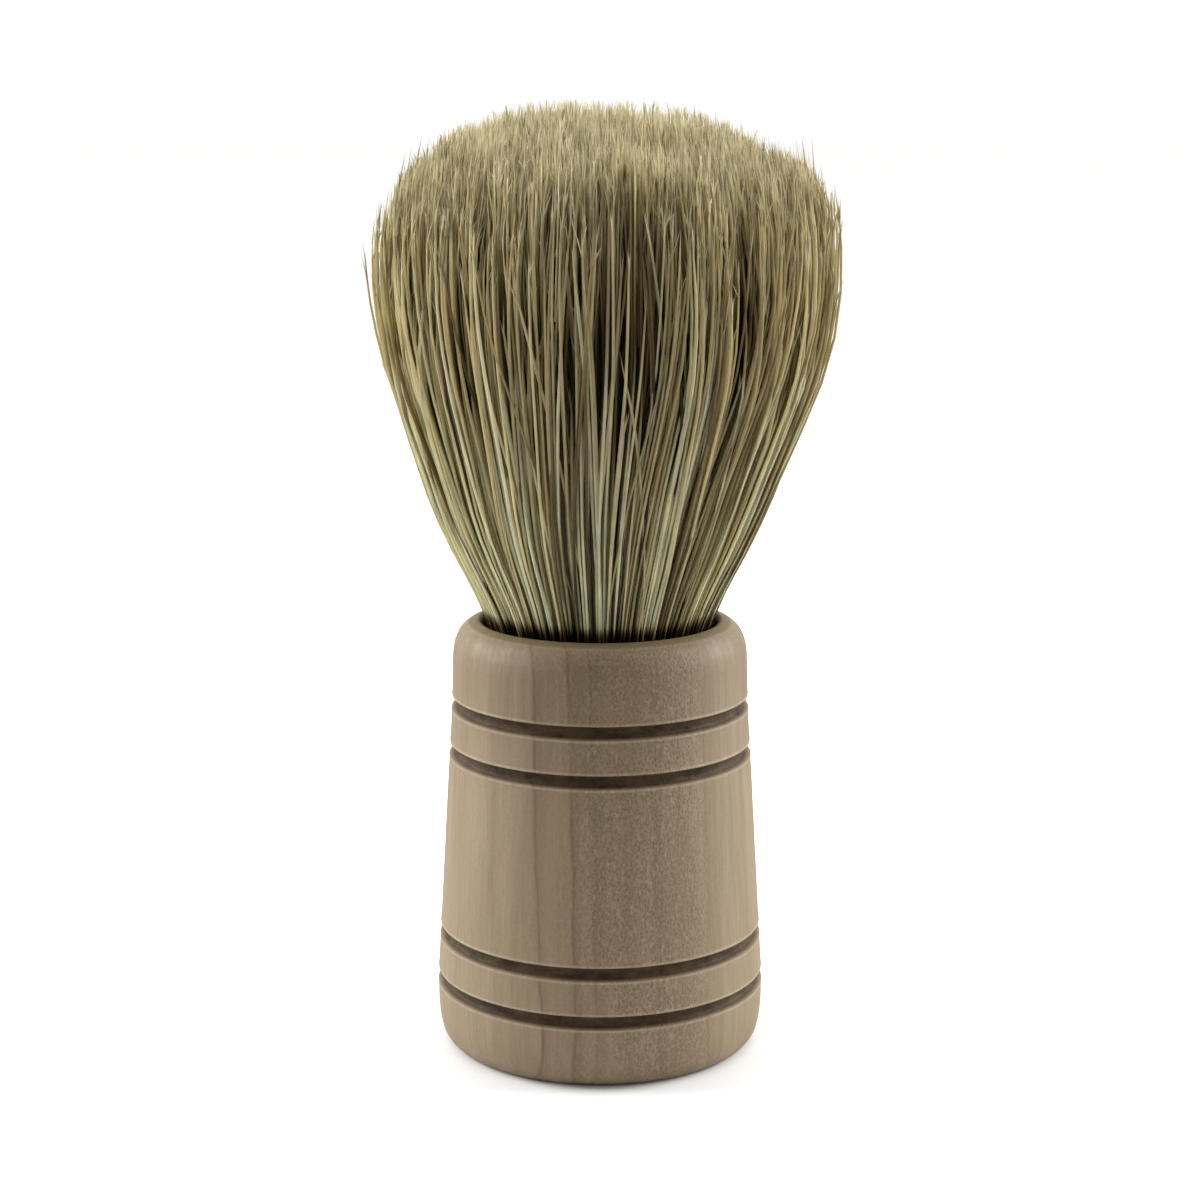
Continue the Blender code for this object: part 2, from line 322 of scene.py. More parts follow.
def wood_material():
    """Pale unvarnished beech: growth lines, fibres along Z, ray flecks and burnt grooves."""
    mat = material_nodes("turned_beech")
    burn, lip, mouth = (mat.attribute(key) for key in ("burn", "lip", "mouth"))
    line, heart, rays = growth(mat)

    fibre = mat.noise((2600, 2600, 75), detail=3.0, roughness=0.65)
    streak = mat.noise((520, 520, 10), detail=3.0, roughness=0.6)
    band = mat.noise((210, 210, 5), offset=(2, 8, 1), detail=1.0)
    blotch = mat.noise((75, 75, 45), detail=3.0, roughness=0.55)
    warm = mat.noise((110, 110, 16), offset=(3.1, 7.7, 0.4), detail=2.0)
    speck = mat.noise((4200, 4200, 3000), detail=2.0, roughness=0.8)
    cells = mat.node("ShaderNodeTexVoronoi", {
        "Vector": mat.mapped(mat.place(), (3300, 3300, 1900)), "Scale": 1.0, "Randomness": 1.0,
    }, feature="F1").outputs["Distance"]
    fleck = mat.times(mat.ramp(cells, ((0.0, 1.0), (0.24, 0.75), (0.42, 0.0))), rays)
    glint = mat.times(mat.ramp(cells, ((0.45, 0.0), (0.62, 0.0), (0.85, 1.0))), rays)
    grainy = mat.times(
        mat.remap(speck, span=(0.45, 0.62)), mat.plus(mat.times(rays, 0.60), 0.10),
    )

    base = mat.mix(mat.remap(warm, span=(0.30, 0.70)), (0.470, 0.370, 0.247), (0.482, 0.362, 0.240))
    base = mat.coats(
        base,
        (mat.times(heart, 0.31), (0.365, 0.250, 0.155)),
        (mat.remap(band, span=(0.40, 0.62), to=(0.0, 0.42)), (0.385, 0.298, 0.168)),
        (mat.remap(blotch, span=(0.36, 0.72), to=(0.0, 0.34)), (0.365, 0.274, 0.170)),
        (mat.remap(streak, span=(0.38, 0.66), to=(0.0, 0.62)), (0.325, 0.243, 0.145)),
        (mat.times(line, 0.95), (0.185, 0.126, 0.070)),
        (mat.remap(fibre, span=(0.32, 0.75), to=(0.0, 0.30)), (0.262, 0.194, 0.122)),
        (grainy, (0.205, 0.143, 0.086)),
        (mat.times(fleck, 0.30), (0.215, 0.148, 0.090)),
        (mat.times(glint, 0.30), (0.640, 0.540, 0.400)),
    )
    # painted shade: the handle darker towards the mouth, in patches
    painted_top_shade = mat.times(
        mat.remap(mat.axis(mat.place(), "Z"), span=(0.030, 0.047)),
        mat.remap(blotch, span=(0.3, 0.7), to=(0.65, 1.0)),
    )
    base = mat.mix(painted_top_shade, base, mat.tint(base, (0.84, 0.81, 0.78)))
    base = mat.tint(base, (0.795, 0.795, 0.800))

    # end grain where the face is level, then the darkened inner edge: end-grain colour on the rim,
    # painted shade at the edge and down the socket
    normal = mat.node("ShaderNodeNewGeometry").outputs["Normal"]
    level = mat.remap(mat.math("ABSOLUTE", mat.axis(normal, "Z")), span=(0.60, 1.0))
    pores = mat.noise((2300, 2300, 900), detail=2.0, roughness=0.7)
    end_grain = mat.times(level, mat.remap(pores, span=(0.35, 0.7), to=(0.15, 0.42)))
    edge_stain_and_socket_shade = mat.times(mouth, mat.remap(pores, span=(0.3, 0.7), to=(0.66, 0.90)))

    # burnt grooves: charred in the floor, toasted at the walls, uneven along the turn
    scorch = mat.noise((340, 340, 900), detail=4.0, roughness=0.7)
    char = mat.mix(
        mat.remap(scorch, span=(0.3, 0.7)), (0.020, 0.0085, 0.002), (0.110, 0.068, 0.028),
    )
    halo = mat.times(
        mat.remap(burn, span=(0.02, 0.5), to=(0.0, 0.35)),
        mat.remap(scorch, span=(0.3, 0.75), to=(0.4, 1.0)),
    )
    # pale lips: worn fuzz and painted highlight on the groove lips, painted highlight alone on the
    # rim's arris
    lip_wear_and_highlight = mat.times(lip, mat.remap(fibre, span=(0.3, 0.7), to=(0.58, 0.18)))
    base = mat.coats(
        base,
        (end_grain, (0.27, 0.195, 0.120)),
        (edge_stain_and_socket_shade, (0.160, 0.122, 0.056)),
        (halo, (0.235, 0.150, 0.082)),
        (mat.remap(burn, span=(0.42, 0.70)), char),
        (lip_wear_and_highlight, (0.560, 0.475, 0.345)),
    )

    rough = mat.remap(fibre, span=(0.3, 0.7), to=(0.50, 0.68))
    turned = mat.noise((18, 18, 3400), detail=2.0, roughness=0.6)
    relief = mat.times(fibre, 0.9)
    for part, weight in (
        (fleck, -0.7), (line, -0.6), (turned, 0.35), (scorch, mat.times(burn, 1.5)),
    ):
        relief = mat.plus(relief, mat.times(part, weight))
    return mat.surface({
        "Base Color": base,
        "Roughness": mat.plus(rough, mat.times(burn, 0.12), use_clamp=True),
        "Specular IOR Level": 0.36,
        "Normal": mat.bump(relief, distance=0.00005, strength=0.8),
    })


def hair_material():
    """Straw bristle, each hair a tone of its own, with painted shade deep in the knot."""
    mat = material_nodes("bristle")
    tone, along, painted_light = (mat.attribute(key) for key in ("tone", "along", "painted_light"))
    drift = mat.noise((700, 700, 150), detail=2.0, roughness=0.6)
    length = mat.ramp(along, (
        (0.00, (0.950, 0.915, 0.645)), (0.25, (0.940, 0.895, 0.625)),
        (0.55, (0.900, 0.840, 0.580)), (0.80, (0.885, 0.815, 0.555)),
        (0.94, (0.860, 0.790, 0.530)), (1.00, (0.850, 0.790, 0.575)),
    ))
    own = mat.ramp(tone, (
        (0.00, (0.07, 0.05, 0.03)), (0.05, (0.16, 0.115, 0.065)), (0.16, (0.38, 0.31, 0.20)),
        (0.36, (0.66, 0.61, 0.47)), (0.60, (0.93, 0.91, 0.84)), (0.82, (1.04, 1.05, 1.04)),
        (1.00, (1.08, 1.13, 1.28)),
    ))
    # painted shade: darker and browner where little light reaches
    shade = mat.ramp(painted_light, (
        (0.00, (0.045, 0.030, 0.011)), (0.30, (0.215, 0.165, 0.082)),
        (0.65, (0.590, 0.520, 0.375)), (1.00, (1.0, 1.0, 1.0)),
    ))
    colour = mat.tint(length, own)
    colour = mat.tint(colour, mat.ramp(drift, ((0.25, 0.84), (0.75, 1.08))))
    colour = mat.tint(colour, shade)
    material = mat.surface({"Base Color": colour, "Roughness": 0.42, "Specular IOR Level": 0.48})
    principled = mat.tree.nodes["Principled BSDF"].outputs[0]
    through = mat.node("ShaderNodeBsdfTranslucent", {"Color": colour}).outputs[0]
    both = mat.node("ShaderNodeMixShader", {0: 0.54, 1: principled, 2: through}).outputs[0]
    mat.surface({"Surface": both}, shader="Material Output")
    return material


def root_material():
    mat = material_nodes("bound_roots")
    hairs = mat.noise((2400, 2400, 90), detail=3.0, roughness=0.6)
    return mat.surface({
        "Base Color": mat.ramp(hairs, (
            (0.25, (0.055, 0.042, 0.022)), (0.5, (0.22, 0.18, 0.10)), (0.8, (0.42, 0.36, 0.22)),
        )),
        "Roughness": 0.6,
        "Normal": mat.bump(hairs, distance=0.0001, strength=0.8),
    })


def resin_material():
    mat = material_nodes("cast_resin")
    cloud = mat.noise((180, 180, 180), detail=4.0, roughness=0.6)
    return mat.surface({
        "Base Color": mat.ramp(cloud, ((0.3, (0.17, 0.095, 0.035)), (0.7, (0.34, 0.21, 0.09)))),
        "Roughness": mat.remap(cloud, span=(0.3, 0.7), to=(0.18, 0.34)),
        "Coat Weight": 0.3,
        "Normal": mat.bump(cloud, distance=0.0001, strength=0.3),
    })


def glue_material():
    mat = material_nodes("cured_adhesive")
    cloud = mat.noise((420, 420, 420), detail=5.0, roughness=0.65)
    return mat.surface({
        "Base Color": mat.ramp(cloud, ((0.3, (0.44, 0.36, 0.22)), (0.7, (0.66, 0.58, 0.42)))),
        "Roughness": mat.remap(cloud, span=(0.3, 0.7), to=(0.35, 0.6)),
        "Normal": mat.bump(cloud, distance=0.00015, strength=0.6),
    })


def cord_material():
    """Twisted linen cord: slanting plies and loose fibre."""
    mat = material_nodes("linen_cord")
    ply = mat.node("ShaderNodeTexWave", {
        "Vector": mat.mapped(mat.place(), (520, 520, 1500)),
        "Scale": 1.0, "Distortion": 3.0, "Detail": 2.0,
    }, wave_type="BANDS", bands_direction="DIAGONAL").outputs["Fac"]
    fibre = mat.noise((5200, 5200, 5200), detail=3.0)
    shade = mat.plus(mat.times(ply, 0.7), mat.times(fibre, 0.3))
    return mat.surface({
        "Base Color": mat.ramp(shade, ((0.1, (0.30, 0.25, 0.16)), (0.8, (0.66, 0.60, 0.46)))),
        "Roughness": 0.85,
        "Normal": mat.bump(shade, distance=0.00012, strength=0.8),
    })


def paper_material():
    """White paper that bounces less light at the brush than it shows to the camera."""
    mat = material_nodes("pale_floor")
    grain = mat.noise((900, 900, 900), detail=2.0)
    away = mat.vector("LENGTH", mat.place(), out="Value")
    bounce = mat.mix(
        mat.remap(away, span=(0.03, 0.15)), (0.68, 0.672, 0.654), (0.31, 0.306, 0.297),
    )
    shown = mat.ramp(grain, ((0.3, 0.93), (0.7, 0.95)))
    return mat.surface({
        "Base Color": mat.mix(mat.camera_ray(), bounce, shown),
        "Roughness": 0.8,
        "Specular IOR Level": 0.0,
    })


# ------------------------------------------------------------------- handle

HANDLE_STEPS = 256
GROOVES = (7.70, 13.05, 34.00, 39.30)     # heights of the groove centres
GROOVE_HALF, GROOVE_DEPTH = 0.75, 0.78
BORE, SOCKET_FLOOR = 13.0, 27.6           # radius of the socket and height of its floor
UV_MARGIN = 0.002

outer = curve((                           # (height, radius) up the outside
    (0.00, 16.15), (0.12, 16.62), (0.40, 17.12), (0.90, 17.58), (1.60, 17.93), (2.40, 18.12),
    (3.40, 18.28), (4.80, 18.38), (6.20, 18.41), (8.00, 18.38), (12.0, 18.16), (20.0, 17.68),
    (30.0, 17.09), (38.0, 16.61), (41.5, 16.47), (43.2, 16.43), (RIM - 4.1, 16.40),
    (RIM - 3.3, 16.33), (RIM - 2.5, 16.18), (RIM - 1.8, 15.93), (RIM - 1.3, 15.66),
    (RIM - 0.9, 15.34), (RIM - 0.6, 14.98), (RIM - 0.37, 14.58), (RIM - 0.20, 14.22),
    (RIM - 0.07, 13.88), (RIM, 13.64),
))
FOOT = ((0.0, 0.30), (4.0, 0.28), (9.0, 0.16), (13.0, 0.05), (15.2, 0.0))     # (radius, height)
SOCKET = (                                # (radius, height, mouth) from the crest down the bore; mouth is painted shade in the socket
    (13.48, RIM - 0.02, 1), (13.34, RIM - 0.08, 1), (13.22, RIM - 0.18, 1),
    (13.12, RIM - 0.32, 1), (13.05, RIM - 0.52, 1), (BORE, RIM - 0.85, 1), (BORE, RIM - 2.1, 1),
    (BORE, RIM - 4.0, 1), (BORE, RIM - 8.0, 1), (BORE, RIM - 14.0, 0.8),
    (BORE, SOCKET_FLOOR + 0.3, 0.8), (BORE - 0.1, SOCKET_FLOOR, 0.8), (8.0, SOCKET_FLOOR, 0.8),
    (2.2, SOCKET_FLOOR, 0.8), (1.6, SOCKET_FLOOR - 0.1, 0.8), (0.0, 25.9, 0.8),
)


def groove_cut(z):
    """How deep the grooves are at a height, with softly turned-over lips."""
    depth = np.zeros_like(z)
    for centre in GROOVES:
        off = np.abs(z - centre)
        share = off / GROOVE_HALF
        cut = GROOVE_DEPTH * np.clip(1 - share**3.4, 0, 1) ** 0.62
        lip = 0.045 * np.exp(-(((off - GROOVE_HALF - 0.14) / 0.13) ** 2))
        depth += np.where(share < 1, cut, 0.0) - lip
    return depth


def handle_heights():
    """Stations up the outside, close at the foot, the rim and the grooves."""
    heights = set(np.round(np.concatenate([
        np.linspace(0, 5, 22), np.arange(5, RIM - 4.6, 0.55),
        np.linspace(RIM - 4.5, RIM - 0.8, 20), np.linspace(RIM - 0.7, RIM, 15),
    ]), 4))
    across = np.concatenate([
        np.linspace(-1.3, -0.78, 8), np.linspace(-GROOVE_HALF, GROOVE_HALF, 25),
        np.linspace(0.78, 1.3, 8),
    ])
    for centre in GROOVES:
        heights = {height for height in heights if abs(height - centre) > 1.35}
        heights |= set(np.round(centre + across, 4))
    return np.array(sorted(heights))


def handle_profile():
    """(radius, height, burn, lip, mouth) rows: base, outside, over the rim, down the socket."""
    z = handle_heights()
    radius = outer(z) - groove_cut(z)
    # the lathe's own faint ripple
    radius = radius + 0.006 * np.sin(z * 5.1) + 0.004 * np.sin(z * 12.7 + 1.0)
    nearest_groove = np.min([np.abs(z - centre) for centre in GROOVES], axis=0)
    burn = np.clip(1.05 - (nearest_groove / 0.95) ** 2.2, 0, 1)
    # lip: paler worn fuzz with a painted highlight on each groove's lips
    lip = np.exp(-(((nearest_groove - 0.90) / 0.11) ** 2))
    # the nearly level top: darkened end grain, partly painted shade, with a painted highlight along
    # the arris
    face = z > RIM - 0.8
    lip = lip + np.where(face, 0.26 * np.exp(-(((radius - 14.80) / 0.13) ** 2)), 0.0)
    # mouth: darker inner part of the face, partly end-grain colour and partly painted shade
    mouth = np.where(face, between(-radius, -14.72, -14.42), 0.0)
    rows = [(*place, 0, 0, 0) for place in FOOT]
    rows += list(zip(radius, z, burn, lip, mouth))
    rows += [(radius_in, height, 0, 0, dark) for radius_in, height, dark in SOCKET]
    return np.array(rows, float)


def lathe_mesh(name, rows, steps, wobble=None):
    """Turns rows of (radius, height, attributes...) about Z; first and last are on the axis."""
    angle = 2 * np.pi * np.arange(steps) / steps
    radius = np.repeat(rows[1:-1, 0, None], steps, 1)
    z = np.repeat(rows[1:-1, 1, None], steps, 1)
    if wobble is not None:
        radius = radius + wobble(angle[None, :], z)
    rings = np.stack([radius * np.cos(angle), radius * np.sin(angle), z], -1).reshape(-1, 3)
    points = np.vstack([rings, [[0, 0, rows[0, 1]]], [[0, 0, rows[-1, 1]]]])
    count = len(rows) - 2
    first, last = count * steps, count * steps + 1
    top = (count - 1) * steps
    i = np.arange(steps)
    after = (i + 1) % steps
    triangles = np.concatenate([
        np.stack([np.full(steps, first), after, i], -1),
        np.stack([np.full(steps, last), top + i, top + after], -1),
    ])

    # UV: the turn goes across, the run of the profile goes up
    used = 1 - 2 * UV_MARGIN
    run = np.concatenate([[0.0], np.cumsum(np.hypot(np.diff(rows[:, 0]), np.diff(rows[:, 1])))])
    up = UV_MARGIN + used * run / run[-1]
    left, right = i / steps * used + UV_MARGIN, (i + 1) / steps * used + UV_MARGIN
    quad_uv = np.empty((count - 1, steps, 4, 2))
    quad_uv[..., 0] = np.stack([left, right, right, left], -1)
    quad_uv[..., :2, 1] = up[1:-2, None, None]
    quad_uv[..., 2:, 1] = up[2:-1, None, None]
    cap_uv = np.empty((2, steps, 3, 2))
    for end, sides, pole, edge in ((0, (right, left), 0, 1), (1, (left, right), -1, -2)):
        cap_uv[end, ..., 0] = np.stack([(left + right) / 2, *sides], -1)
        cap_uv[end, ..., 1] = (up[pole], up[edge], up[edge])
    attributes = {
        key: np.concatenate([np.repeat(column[1:-1], steps), column[[0, -1]]])
        for key, column in zip(("burn", "lip", "mouth"), rows.T[2:])
    }
    uv = np.concatenate([quad_uv.reshape(-1, 2), cap_uv.reshape(-1, 2)])
    return make_mesh(name, points, ring_quads(count, steps), triangles, uv, attributes)


handle = lathe_mesh("turned_handle", handle_profile(), HANDLE_STEPS)
handle.data.materials.append(wood_material())
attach(handle, "root")
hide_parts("handle")

# ------------------------------------------------ pieces inside the socket

for node, material in (
    ("socket_adhesive", glue_material()), ("root_plug", resin_material()),
    ("binding_cord", cord_material()),
):
    frame["nodes"][node].data.materials.clear()
    frame["nodes"][node].data.materials.append(material)

FLUTES = 132


def bound_roots():
    """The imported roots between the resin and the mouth, fluted, waisted under the cord."""
    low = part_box("bristle_root_bundle")[0].z / MM
    rows = (                              # (radius, height)
        (0.0, low), (6.0, low), (10.3, low), (10.45, low + 0.3), (10.45, 38.6), (10.9, 38.9),
        (11.25, 39.3), (11.25, 42.0), (11.25, 45.8), (11.5, 46.2), (11.7, 46.6), (11.3, 47.0),
        (6.0, 47.1), (0.0, 47.1),
    )

    def fluted(angle, z):
        wave = 0.5 + 0.5 * np.cos(angle * FLUTES + 0.35 * np.sin(z * 0.9))
        return -0.10 * wave * between(z, low, low + 0.6)

    return lathe_mesh("bound_roots", np.array(rows, float), 4 * FLUTES, fluted)


roots = bound_roots()
roots.data.materials.append(root_material())
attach(roots, "root")

# -------------------------------------------------------- shape of the knot

HAIRS = 9000
CUT_A, CUT_B = 53.5, 65.5     # heights where the hair passes from one body to the next
LEAN = 0.75                   # how far the top of the knot stands off the axis, towards +X
flare = curve((               # (height, radius of the knot)
    (44.0, 11.5), (47.0, 12.2), (48.5, 12.75), (49.6, 13.2), (50.6, 13.6), (52.1, 14.3),
    (53.6, 15.05), (55.1, 15.85), (56.6, 16.6), (58.1, 17.3), (61.0, 18.65), (63.9, 19.75),
    (66.8, 20.85), (69.7, 21.95), (72.6, 23.0), (75.4, 24.0), (78.3, 24.75), (81.1, 25.3),
    (83.9, 25.65), (87.0, 25.85), (91.0, 25.80), (95.0, 25.35), (99.0, 24.7), (105.0, 23.6),
))
crown = curve((               # (distance from the knot's middle, height of the tips)
    (0.0, 104.6), (5.0, 104.4), (9.0, 103.7), (12.0, 102.8), (14.6, 101.9), (17.65, 100.5),
    (19.75, 99.0), (21.3, 97.7), (22.4, 96.5), (23.2, 95.2), (24.0, 93.7), (24.8, 92.2),
    (25.4, 91.0), (26.3, 89.5),
))


def crown_height(x, y):
    """Height of the tips over a place, with a softer left shoulder and a sharper right one."""
    radius = np.hypot(x, y)
    return crown(radius) - 0.032 * x + x * 0.060 * between(radius, 17.0, 25.0)


# ------------------------------------------- where each hair grows and leans

def disc(count, seed):
    """Points spread evenly over the unit disc, slightly shaken."""
    draw = np.random.default_rng(seed)
    order = np.arange(count) + 0.5
    radius, angle = np.sqrt(order / count), order * math.pi * (3 - math.sqrt(5))
    points = np.stack([radius * np.cos(angle), radius * np.sin(angle)], -1)
    return points + draw.normal(0, 0.42 / math.sqrt(count), (count, 2))


def nearest(points, centres, batch=1500):
    best = np.empty(len(points), int)
    for i in range(0, len(points), batch):
        apart = ((points[i : i + batch, None] - centres[None]) ** 2).sum(-1)
        best[i : i + batch] = apart.argmin(1)
    return best


def drift_of(places, along_rim, in_out, seed):
    """A sideways drift for each place, round the knot and in or out."""
    draw = np.random.default_rng(seed)
    out = unit(places)
    around = np.stack([-out[:, 1], out[:, 0]], -1)
    return (
        around * draw.normal(0, along_rim, len(places))[:, None]
        + out * draw.normal(0, in_out, len(places))[:, None]
    )


root_at = disc(HAIRS, seed=11)
root_at /= np.maximum(1.0, np.hypot(*root_at.T) / 0.995)[:, None]
rank = np.hypot(*root_at.T)
# the outermost layer is thinned, so that the knot shows its depth
inner = (rank > 0.88) & (rng.random(HAIRS) < 0.60)
root_at[inner] *= (rng.uniform(0.50, 0.88, int(inner.sum())) / rank[inner])[:, None]
rank = np.hypot(*root_at.T)               # 0 at the middle of the knot, 1 at its edge

locks, wisps = disc(340, seed=12), disc(2300, seed=13)
lock_of, wisp_of = nearest(root_at, locks), nearest(root_at, wisps)
lock_drift = drift_of(locks, along_rim=0.055, in_out=0.034, seed=21)
wisp_drift = drift_of(wisps, along_rim=0.052, in_out=0.030, seed=22)
own_drift = drift_of(root_at, along_rim=0.058, in_out=0.026, seed=23)
wander = rng.random(HAIRS)                # hairs that cross their neighbours
own_drift += (
    drift_of(root_at, along_rim=0.16, in_out=0.035, seed=24) * (wander < 0.26)[:, None]
    + drift_of(root_at, along_rim=0.26, in_out=0.04, seed=25) * (wander < 0.04)[:, None]
)
pull_lock = rng.uniform(0.70, 1.12, HAIRS)
pull_wisp = rng.uniform(0.25, 1.0, HAIRS)
phase = rng.random((HAIRS, 2)) * 2 * np.pi
wave = np.abs(rng.normal(0, 0.0095, HAIRS)) + 0.002
turns = rng.uniform(3.5, 8.5, HAIRS)
spin = rng.random(HAIRS) * 2 * np.pi
# how far inside the outline each hair is kept, so that no two layers end level
held_in = 0.15 * rng.random(HAIRS) ** 1.4
rebel = rng.random(HAIRS) < 0.09          # hairs that stand proud of the rest


def spread(z, hairs):
    """Places across the knot, as shares of its radius, at heights z (hairs, steps)."""
    rise = np.clip((z - 48.0) / (TOP - 48.0), 0, 1.02)
    # hairs gather to their wisp and then to their lock
    to_lock = 0.10 + 0.30 * between(rise, 0.03, 0.45) + 0.24 * between(rise, 0.55, 0.98)
    to_wisp = 0.42 + 0.30 * between(rise, 0.0, 0.3) - 0.17 * between(rise, 0.72, 1.0)
    root = root_at[hairs][:, None]
    lock, wisp = locks[lock_of[hairs]][:, None], wisps[wisp_of[hairs]][:, None]
    at = root + (pull_wisp[hairs][:, None] * to_wisp)[..., None] * (wisp - root)
    at = at + (pull_lock[hairs][:, None] * to_lock)[..., None] * (lock - at)
    drift = own_drift[hairs] + wisp_drift[wisp_of[hairs]] + lock_drift[lock_of[hairs]]
    at = at + (rise ** 1.15)[..., None] * drift[:, None]
    turn = rise * turns[hairs][:, None]
    at = at + (wave[hairs][:, None] * rise)[..., None] * np.stack([
        np.sin(turn + phase[hairs, 0:1]), np.sin(turn * 1.3 + phase[hairs, 1:2]),
    ], -1)
    # hairs past the outline are brought back, rebels less than the rest
    size = np.linalg.norm(at, axis=-1, keepdims=True)
    kept = held_in[hairs][:, None, None] * between(rise, 0.15, 1.0)[..., None]
    limit = 0.985 + 0.02 * rise[..., None] - kept
    over = size - limit
    proud = limit + 0.35 * np.minimum(over, 0.09)
    painted_top_shade = np.where(rebel[hairs][:, None, None], proud, limit - 0.7 * over)
    return np.where(over > 0, at / np.maximum(size, 1e-6) * painted_top_shade, at)


def where(z, hairs):
    """Centre lines of hairs at heights z."""
    across = spread(z, hairs) * flare(z)[..., None]
    across[..., 0] += LEAN * between(z, 58.0, 80.0)
    return np.concatenate([across, z[..., None]], -1)


def direction(z, hairs):
    return unit(where(z + 0.2, hairs) - where(z - 0.2, hairs))


# ------------------------------------------ length, tone and width of hairs

everyone = np.arange(HAIRS)
at_top = where(np.full((HAIRS, 1), 97.0), everyone)[:, 0, :2]
envelope = crown_height(at_top[:, 0] - LEAN, at_top[:, 1])
edge = between(rank, 0.62, 0.92)          # the outer layers are the least even in length
tip = (
    envelope - np.minimum(rng.exponential(0.75, HAIRS), 4.5)
    - rng.normal(0, 0.65, len(locks))[lock_of] * (1 + 0.8 * edge)
)
tip -= rng.normal(0, 0.35, len(wisps))[wisp_of] * (1 + 1.6 * edge) - 0.5 * edge
tip += (rng.random(HAIRS) < 0.03) * rng.uniform(0.2, 0.9, HAIRS)
short = rng.random(HAIRS) < (0.10 + 0.46 * between(rank, 0.66, 0.92))
lost = 1.0 + 21.0 * rng.random(int(short.sum())) ** 1.7
tip[short] -= lost * between(rank[short], 0.0, 0.9)
tip = np.clip(tip, CUT_B + 3.0, TOP + 0.15)

EVEN_TONE, TIP_TONE = 0.57, 0.60          # the middle tone, and the one the tips tend to
# the x term, paler to the left and darker to the right, is partly the hair's own tone and partly
# painted light
tone = np.clip(
    0.56 + 0.23 * rng.normal(size=HAIRS) + 0.12 * rng.normal(size=len(wisps))[wisp_of]
    - 0.02 * root_at[:, 0], 0.16, 0.96,
)
odd = rng.random(HAIRS)                   # a few dark, fewer nearly black, some pale
for chosen, low, high in (
    (odd < 0.060, 0.06, 0.20), (odd < 0.014, 0.0, 0.05), (odd > 0.90, 0.82, 1.0),
):
    tone[chosen] = rng.uniform(low, high, int(chosen.sum()))
thick = rng.uniform(0.120, 0.175, HAIRS) + 0.040 * (rng.random(HAIRS) < 0.22)
foot = rng.uniform(48.55, 49.75, HAIRS)   # where each hair comes out of the mouth's shadow


def width_at(z, hairs):
    return thick[hairs][:, None] * (0.66 + 0.34 * between(z, 47.0, 66.0))


def along_at(z, hairs):
    """Place along each hair, 0 at the mouth and 1 at its tip."""
    return np.clip((z - 49.0) / (tip[hairs][:, None] - 49.0), 0, 1)


def tone_at(z, hairs):
    """Each hair's own tone, strongest at the root, evening out towards its tip."""
    along = along_at(z, hairs)
    own = EVEN_TONE + (tone[hairs][:, None] - EVEN_TONE) * (1 + 0.45 * (1 - along) ** 2)
    return np.clip(own + (TIP_TONE - own) * 0.55 * along**4, 0.0, 1.0)


def painted_light_at(z, hairs):
    """Painted light reaching a hair, as open air would let it in: 1 at the knot's surface, nearly
    nothing deep inside, painted shadow at the mouth.
    """
    at = spread(z, hairs)
    side = (0.985 - np.linalg.norm(at, axis=-1)) * flare(z)
    side = side * (0.27 + 0.73 * between(z, 52.0, 80.0)) * (1 - 0.58 * between(z, 78.0, 93.0))
    # the studio is brightest to the left and right
    side = side * (1 - 0.5 * between(np.abs(at[..., 0]), 0.40, 0.95))
    top = (envelope[hairs][:, None] - z) * 0.23
    depth = np.maximum(0.0, np.minimum(side, top) - 1.0)
    reach = 0.03 + 0.97 * np.exp(-((depth / 1.38) ** 1.2))
    # painted shadow where each hair leaves the mouth
    start = foot[hairs][:, None]
    return reach * between(z, start - 0.5, start + 0.9)


def values_at(z, hairs):
    return along_at(z, hairs), tone_at(z, hairs), painted_light_at(z, hairs)


# ------------------------------------------------------------- hair meshes

